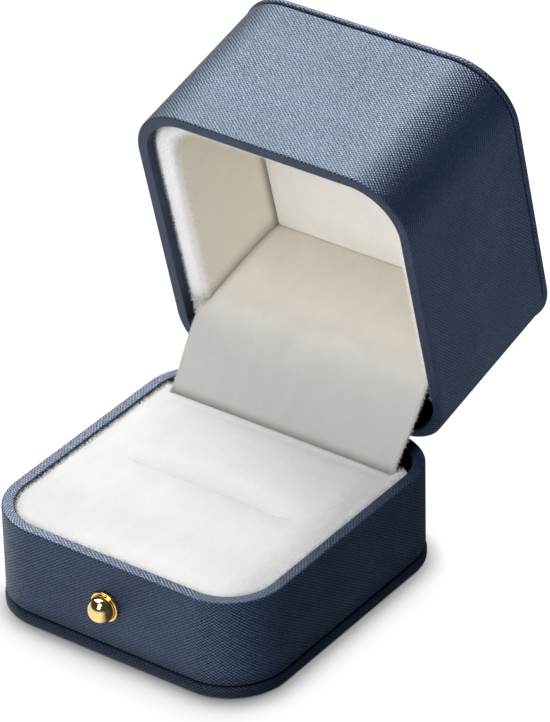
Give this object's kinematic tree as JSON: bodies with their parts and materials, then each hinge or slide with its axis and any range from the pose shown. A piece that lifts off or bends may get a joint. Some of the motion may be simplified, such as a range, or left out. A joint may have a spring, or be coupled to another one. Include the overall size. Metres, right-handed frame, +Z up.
{
  "type": "ring box",
  "caption": "Hinged presentation box for one finger ring, rounded square plan, woven-look covering, velvet lining, slit cushion and a small gilt ball stud in front.",
  "frame": {"origin": "middle of the underside of the lower half, on the surface the box stands on", "axes": "+Z up, -Y the front with the stud, +Y the hinged back, +X to the right seen from the front; the lid is at rest open on its stop"},
  "size_m": [0.0564, 0.0961, 0.0845],
  "materials": {
    "covering": "satin",
    "velvet": "matte",
    "foam": "matte",
    "board": "matte",
    "tray_plastic": "matte",
    "gilt": "polished",
    "steel": "satin"
  },
  "bodies": {
    "base": {"base_plate_board": "board", "base_plate_wrap": "covering", "base_tray": "tray_plastic", "base_wall_wrap": "covering", "cushion_card": "board", "cushion_foam": "foam", "cushion_velvet": "velvet", "hinge_flap": "velvet", "base_hinge_leaf": "steel", "hinge_pin": "steel", "hinge_snap_spring": "steel", "base_rivet_left": "steel", "base_rivet_right": "steel", "stud_ball": "gilt", "stud_collar": "gilt", "stud_washer": "steel"},
    "lid": {"lid_shell": "tray_plastic", "lid_wall_wrap": "covering", "lid_plate_board": "board", "lid_plate_wrap": "covering", "lid_lining_card": "board", "lid_lining_velvet": "velvet", "lid_ceiling_foam": "foam", "lid_ceiling_velvet": "velvet", "lid_panel_card": "board", "lid_panel_pad": "foam", "lid_hinge_leaf": "steel", "lid_rivet_left": "steel", "lid_rivet_right": "steel"}
  },
  "joints": [
    {"name": "lid_hinge", "type": "hinge", "parent": "base", "child": "lid", "pos_m": [0, 0.0294, 0.0186], "axis": [1, 0, 0], "range_deg": [0, 76.1], "deforming": ["hinge_flap"]}
  ]
}
